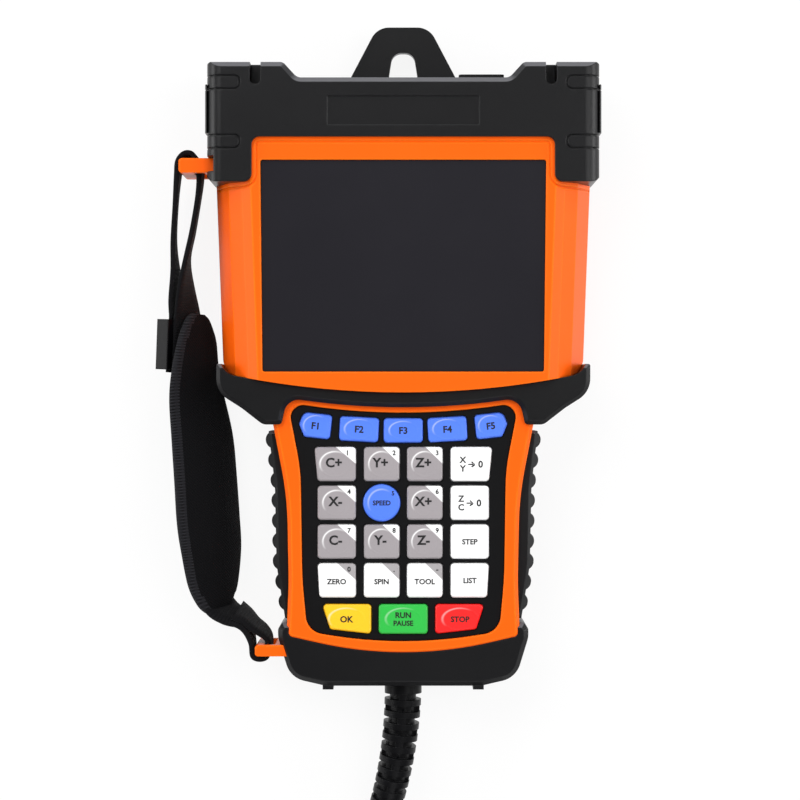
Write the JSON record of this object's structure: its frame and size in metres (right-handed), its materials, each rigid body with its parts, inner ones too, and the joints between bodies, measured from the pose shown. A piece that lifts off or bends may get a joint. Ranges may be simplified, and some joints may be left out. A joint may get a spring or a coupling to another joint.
{
  "type": "handheld motion controller",
  "caption": "Handheld motion controller with a screen head, a keypad handle with ribbed grips, a padded hand strap, a hanging hook and a coiled cable.",
  "frame": {"origin": "back face of the housing, on the centre line between the screen head and the keypad handle", "axes": "+Z out of the screen, +Y towards the hanging hook, +X to the right of the screen"},
  "size_m": [0.1708, 0.4422, 0.0415],
  "materials": {
    "orange_shell": "satin moulded plastic",
    "black_bumper": "satin soft moulding",
    "black_plastic": "fine matt",
    "flap_rubber": "matt",
    "lens": "polished dark lens",
    "seal": "matt",
    "display_steel": "plain",
    "board": "solder mask",
    "dome_steel": "plain",
    "flat_cable": "film",
    "port_steel": "plain",
    "overlay": "fine matt",
    "key_blue": "satin",
    "key_grey": "satin",
    "key_white": "satin",
    "key_yellow": "satin",
    "key_green": "satin",
    "key_red": "satin",
    "screw_steel": "plain",
    "webbing": "woven",
    "pad_fabric": "woven, padded",
    "boot_rubber": "satin",
    "cable_jacket": "satin",
    "tie": "hook and loop",
    "gland_nut": "plain",
    "plug_hood": "fine matt",
    "plug_steel": "plain"
  },
  "bodies": {
    "housing": {"front_shell": "orange_shell", "rear_shell": "orange_shell", "strap_lug_upper": "orange_shell", "strap_lug_lower": "orange_shell", "top_bumper": "black_bumper", "waist_band": "black_bumper", "bottom_bumper": "black_bumper", "left_grip": "black_bumper", "right_grip": "black_bumper", "hang_hook": "black_plastic", "strap_buckle": "black_plastic", "display_lens": "lens", "lens_gasket": "seal", "shell_gasket": "seal", "display_module": "display_steel", "main_board": "board", "keypad_board": "board", "key_domes": "dome_steel", "flex_cable": "flat_cable", "port_socket": "port_steel", "keypad_overlay": "overlay", "shell_screws": "screw_steel", "strap_upper_webbing": "webbing", "strap_lower_webbing": "webbing", "strap_pad": "pad_fabric", "strain_relief": "boot_rubber", "cable": "cable_jacket", "cable_coil": "cable_jacket", "cable_tail": "cable_jacket", "coil_tie": "tie", "cable_gland": "gland_nut", "cable_plug": "plug_hood", "plug_shell": "plug_steel", "plug_screws": "plug_steel"},
    "soft_key_1": {"soft_key_1": "key_blue"},
    "soft_key_2": {"soft_key_2": "key_blue"},
    "soft_key_3": {"soft_key_3": "key_blue"},
    "soft_key_4": {"soft_key_4": "key_blue"},
    "soft_key_5": {"soft_key_5": "key_blue"},
    "key_1": {"key_1": "key_grey"},
    "key_2": {"key_2": "key_grey"},
    "key_3": {"key_3": "key_grey"},
    "key_4": {"key_4": "key_grey"},
    "key_6": {"key_6": "key_grey"},
    "key_7": {"key_7": "key_grey"},
    "key_8": {"key_8": "key_grey"},
    "key_9": {"key_9": "key_grey"},
    "key_5": {"key_5": "key_blue"},
    "key_0": {"key_0": "key_white"},
    "key_point": {"key_point": "key_white"},
    "key_minus": {"key_minus": "key_white"},
    "key_zero_all": {"key_zero_all": "key_white"},
    "key_zero_one": {"key_zero_one": "key_white"},
    "key_mode": {"key_mode": "key_white"},
    "key_menu": {"key_menu": "key_white"},
    "key_accept": {"key_accept": "key_yellow"},
    "key_run": {"key_run": "key_green"},
    "key_stop": {"key_stop": "key_red"},
    "port_cover": {"port_cover": "flap_rubber"}
  },
  "joints": [
    {"name": "soft_key_1_press", "type": "slide", "parent": "housing", "child": "soft_key_1", "axis": [0, 0, -1], "range_m": [0, 0.001], "stiffness_N_per_m": 500},
    {"name": "soft_key_2_press", "type": "slide", "parent": "housing", "child": "soft_key_2", "axis": [0, 0, -1], "range_m": [0, 0.001], "stiffness_N_per_m": 500},
    {"name": "soft_key_3_press", "type": "slide", "parent": "housing", "child": "soft_key_3", "axis": [0, 0, -1], "range_m": [0, 0.001], "stiffness_N_per_m": 500},
    {"name": "soft_key_4_press", "type": "slide", "parent": "housing", "child": "soft_key_4", "axis": [0, 0, -1], "range_m": [0, 0.001], "stiffness_N_per_m": 500},
    {"name": "soft_key_5_press", "type": "slide", "parent": "housing", "child": "soft_key_5", "axis": [0, 0, -1], "range_m": [0, 0.001], "stiffness_N_per_m": 500},
    {"name": "key_1_press", "type": "slide", "parent": "housing", "child": "key_1", "axis": [0, 0, -1], "range_m": [0, 0.001], "stiffness_N_per_m": 500},
    {"name": "key_2_press", "type": "slide", "parent": "housing", "child": "key_2", "axis": [0, 0, -1], "range_m": [0, 0.001], "stiffness_N_per_m": 500},
    {"name": "key_3_press", "type": "slide", "parent": "housing", "child": "key_3", "axis": [0, 0, -1], "range_m": [0, 0.001], "stiffness_N_per_m": 500},
    {"name": "key_4_press", "type": "slide", "parent": "housing", "child": "key_4", "axis": [0, 0, -1], "range_m": [0, 0.001], "stiffness_N_per_m": 500},
    {"name": "key_6_press", "type": "slide", "parent": "housing", "child": "key_6", "axis": [0, 0, -1], "range_m": [0, 0.001], "stiffness_N_per_m": 500},
    {"name": "key_7_press", "type": "slide", "parent": "housing", "child": "key_7", "axis": [0, 0, -1], "range_m": [0, 0.001], "stiffness_N_per_m": 500},
    {"name": "key_8_press", "type": "slide", "parent": "housing", "child": "key_8", "axis": [0, 0, -1], "range_m": [0, 0.001], "stiffness_N_per_m": 500},
    {"name": "key_9_press", "type": "slide", "parent": "housing", "child": "key_9", "axis": [0, 0, -1], "range_m": [0, 0.001], "stiffness_N_per_m": 500},
    {"name": "key_5_press", "type": "slide", "parent": "housing", "child": "key_5", "axis": [0, 0, -1], "range_m": [0, 0.001], "stiffness_N_per_m": 500},
    {"name": "key_0_press", "type": "slide", "parent": "housing", "child": "key_0", "axis": [0, 0, -1], "range_m": [0, 0.001], "stiffness_N_per_m": 500},
    {"name": "key_point_press", "type": "slide", "parent": "housing", "child": "key_point", "axis": [0, 0, -1], "range_m": [0, 0.001], "stiffness_N_per_m": 500},
    {"name": "key_minus_press", "type": "slide", "parent": "housing", "child": "key_minus", "axis": [0, 0, -1], "range_m": [0, 0.001], "stiffness_N_per_m": 500},
    {"name": "key_zero_all_press", "type": "slide", "parent": "housing", "child": "key_zero_all", "axis": [0, 0, -1], "range_m": [0, 0.001], "stiffness_N_per_m": 500},
    {"name": "key_zero_one_press", "type": "slide", "parent": "housing", "child": "key_zero_one", "axis": [0, 0, -1], "range_m": [0, 0.001], "stiffness_N_per_m": 500},
    {"name": "key_mode_press", "type": "slide", "parent": "housing", "child": "key_mode", "axis": [0, 0, -1], "range_m": [0, 0.001], "stiffness_N_per_m": 500},
    {"name": "key_menu_press", "type": "slide", "parent": "housing", "child": "key_menu", "axis": [0, 0, -1], "range_m": [0, 0.001], "stiffness_N_per_m": 500},
    {"name": "key_accept_press", "type": "slide", "parent": "housing", "child": "key_accept", "axis": [0, 0, -1], "range_m": [0, 0.001], "stiffness_N_per_m": 500},
    {"name": "key_run_press", "type": "slide", "parent": "housing", "child": "key_run", "axis": [0, 0, -1], "range_m": [0, 0.001], "stiffness_N_per_m": 500},
    {"name": "key_stop_press", "type": "slide", "parent": "housing", "child": "key_stop", "axis": [0, 0, -1], "range_m": [0, 0.001], "stiffness_N_per_m": 500},
    {"name": "port_cover_hinge", "type": "hinge", "parent": "housing", "child": "port_cover", "pos_m": [0.029, 0.1199, 0.0231], "axis": [-1, 0, 0], "range_deg": [0, 110], "stiffness_Nm_per_rad": 0.004}
  ]
}
